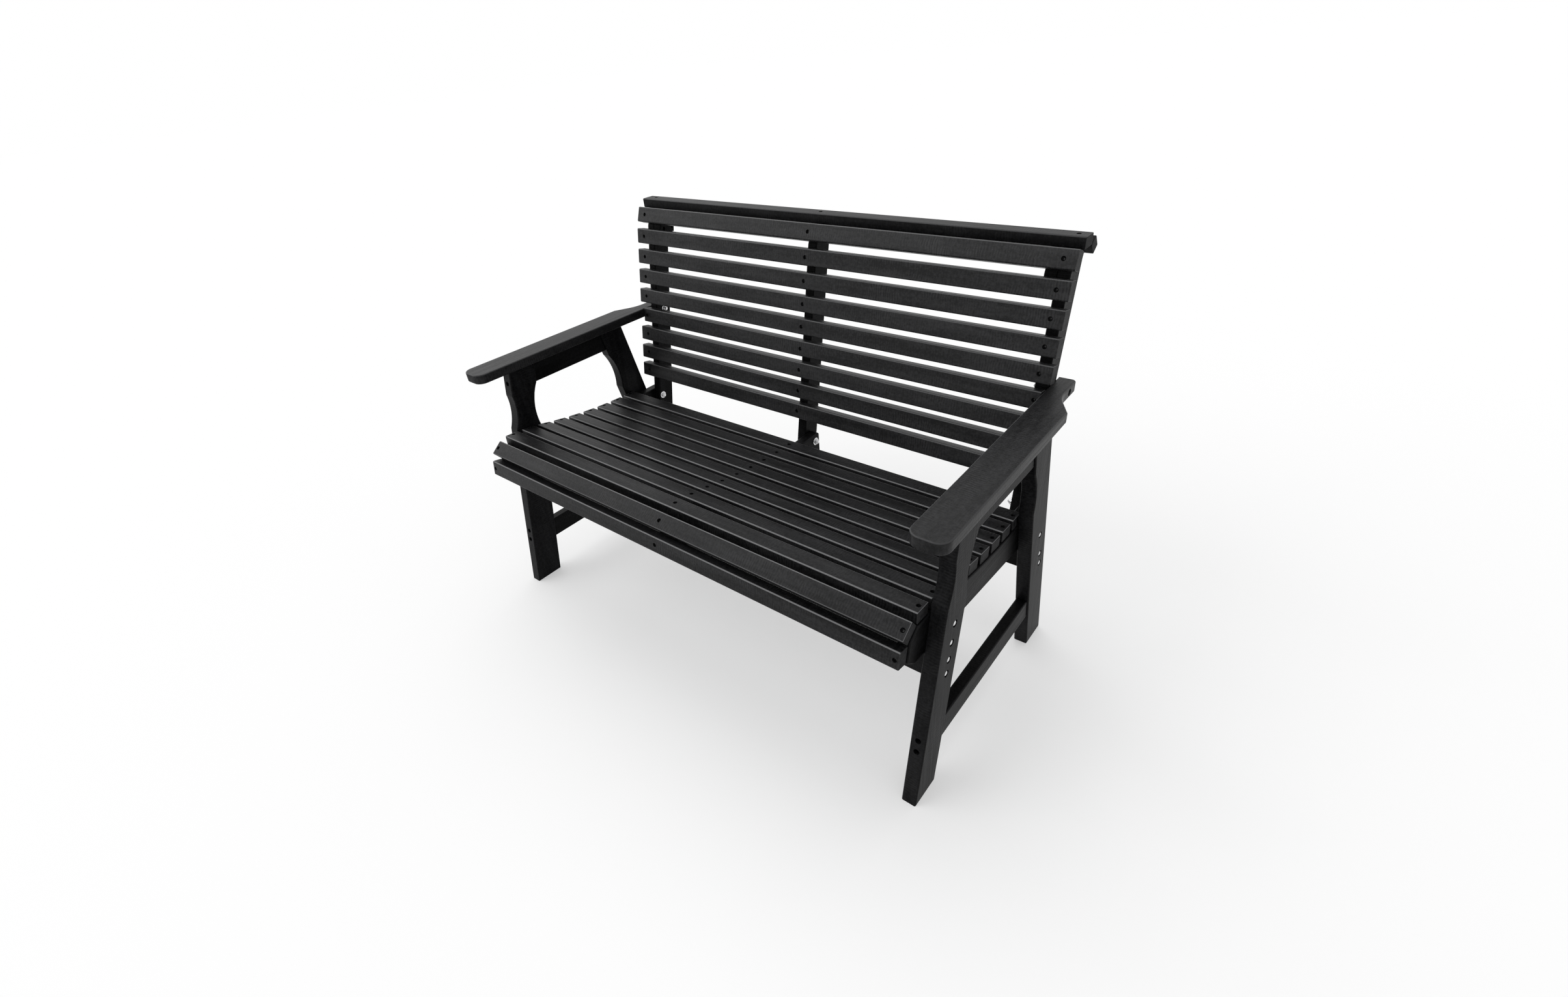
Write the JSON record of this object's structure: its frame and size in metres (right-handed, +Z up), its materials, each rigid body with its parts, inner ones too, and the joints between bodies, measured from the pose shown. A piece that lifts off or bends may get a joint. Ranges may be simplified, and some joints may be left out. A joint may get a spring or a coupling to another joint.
{
  "type": "slatted garden bench",
  "caption": "Fixed slatted garden bench with a scooped seat, a reclined back rolled over at the top, flat arms and splayed plank legs.",
  "frame": {"origin": "middle of the footprint of the whole bench, on the floor under the four feet", "axes": "+Z up; +X along the length of the seat, to the right as the picture is seen from in front; +Y towards the back, so a sitter looks along -Y"},
  "size_m": [1.3308, 0.732, 0.9249],
  "materials": {
    "poly_lumber": "solid black recycled polyethylene lumber, satin, faintly pebbled, eased edges",
    "stainless_bolt": "bright stainless steel with a soft polish",
    "coated_screw": "black corrosion-proof coating"
  },
  "bodies": {
    "root": {"arm_bolts": "stainless_bolt", "arm_screws": "coated_screw", "back_screws": "coated_screw", "back_slat_1": "poly_lumber", "back_slat_2": "poly_lumber", "back_slat_3": "poly_lumber", "back_slat_4": "poly_lumber", "back_slat_5": "poly_lumber", "back_slat_6": "poly_lumber", "back_slat_7": "poly_lumber", "back_slat_8": "poly_lumber", "back_slat_9": "poly_lumber", "beam_lag_bolts": "stainless_bolt", "bolt_nuts": "stainless_bolt", "bolt_washers": "stainless_bolt", "brace_screws": "coated_screw", "cap_screws": "coated_screw", "centre_back_stile": "poly_lumber", "centre_seat_rail": "poly_lumber", "front_cross_beam": "poly_lumber", "joint_screws": "coated_screw", "left_arm": "poly_lumber", "left_arm_apron": "poly_lumber", "left_back_stile": "poly_lumber", "left_cap_cleat": "poly_lumber", "left_front_leg": "poly_lumber", "left_rear_leg": "poly_lumber", "left_seat_rail": "poly_lumber", "left_stretcher": "poly_lumber", "rail_bolts": "stainless_bolt", "rear_cap_lip": "poly_lumber", "rear_cross_beam": "poly_lumber", "right_arm": "poly_lumber", "right_arm_apron": "poly_lumber", "right_back_stile": "poly_lumber", "right_cap_cleat": "poly_lumber", "right_front_leg": "poly_lumber", "right_rear_leg": "poly_lumber", "right_seat_rail": "poly_lumber", "right_stretcher": "poly_lumber", "seat_front_slat": "poly_lumber", "seat_nose_slat": "poly_lumber", "seat_screws": "coated_screw", "seat_slat_1": "poly_lumber", "seat_slat_2": "poly_lumber", "seat_slat_3": "poly_lumber", "seat_slat_4": "poly_lumber", "seat_slat_5": "poly_lumber", "seat_slat_6": "poly_lumber", "seat_slat_7": "poly_lumber", "seat_slat_8": "poly_lumber", "seat_slat_9": "poly_lumber", "stile_bolts": "stainless_bolt", "top_cap": "poly_lumber"}
  },
  "joints": []
}
